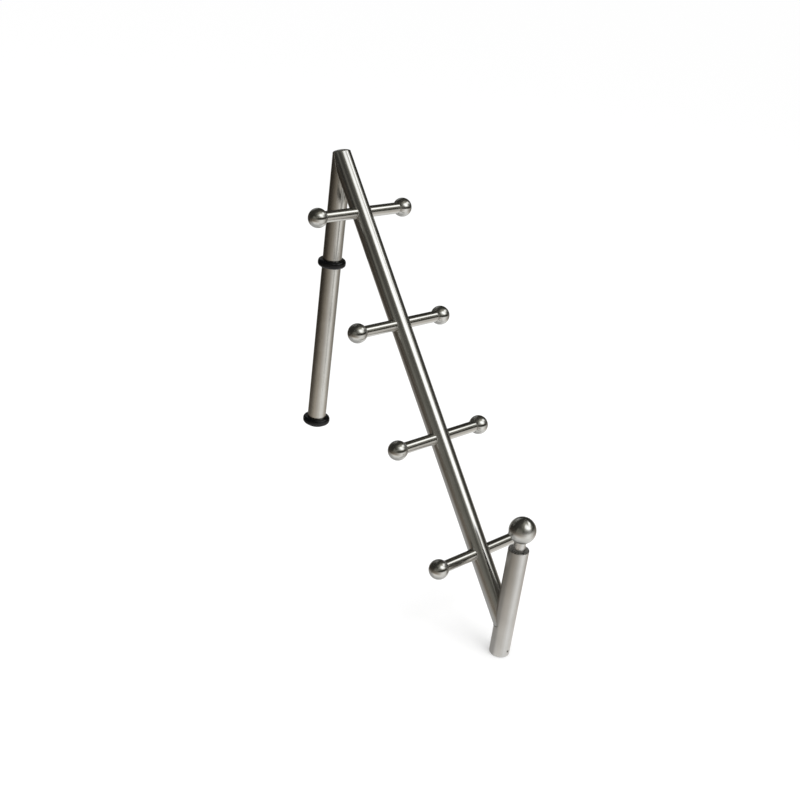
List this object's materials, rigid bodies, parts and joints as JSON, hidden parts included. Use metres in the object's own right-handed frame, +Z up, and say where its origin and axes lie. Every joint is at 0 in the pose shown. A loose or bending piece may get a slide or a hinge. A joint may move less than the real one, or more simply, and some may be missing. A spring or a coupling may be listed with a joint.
{
  "type": "boat boarding ladder",
  "caption": "Plug-in boarding ladder with a leaning stainless spine, ball-ended rungs, a ringed socket leg, and a grab post whose ball-headed rod slides up.",
  "frame": {"origin": "on the socket leg's axis, at the middle of the upper rubber ring", "axes": "+Z up along the leg, +X from the leg towards the grab post, +Y along the rungs"},
  "size_m": [0.6997, 0.277, 0.8951],
  "materials": {
    "brushed_tube": "brushed along the tube",
    "polished_ball": "fine turned polish",
    "black_rubber": "semi-gloss moulded",
    "white_nylon": "turned",
    "fastener_steel": "plain"
  },
  "bodies": {
    "ladder_frame": {"spine_tube": "brushed_tube", "leg_tube": "brushed_tube", "corner_cap": "brushed_tube", "upper_ring": "black_rubber", "lower_ring": "black_rubber", "leg_end_plug": "black_rubber", "rung_1": "brushed_tube", "rung_2": "brushed_tube", "rung_3": "brushed_tube", "rung_4": "brushed_tube", "rung_1_ball_left": "polished_ball", "rung_1_ball_right": "polished_ball", "rung_2_ball_left": "polished_ball", "rung_2_ball_right": "polished_ball", "rung_3_ball_left": "polished_ball", "rung_3_ball_right": "polished_ball", "rung_4_ball_left": "polished_ball", "rung_4_ball_right": "polished_ball", "post_tube": "brushed_tube", "post_end_cap": "brushed_tube", "end_cap_pin": "fastener_steel", "guide_bush": "white_nylon"},
    "piston": {"rod_piston": "white_nylon"},
    "grab_handle": {"grab_rod": "brushed_tube", "grab_ball": "polished_ball", "piston_bolt": "fastener_steel"}
  },
  "joints": [
    {"name": "rod_slide", "type": "slide", "parent": "ladder_frame", "child": "piston", "axis": [0, 0, 1], "range_m": [0, 0.13]},
    {"name": "rod_turn", "type": "hinge", "parent": "piston", "child": "grab_handle", "pos_m": [0.64119, 0, -0.55], "axis": [0, 0, 1], "continuous": true}
  ]
}
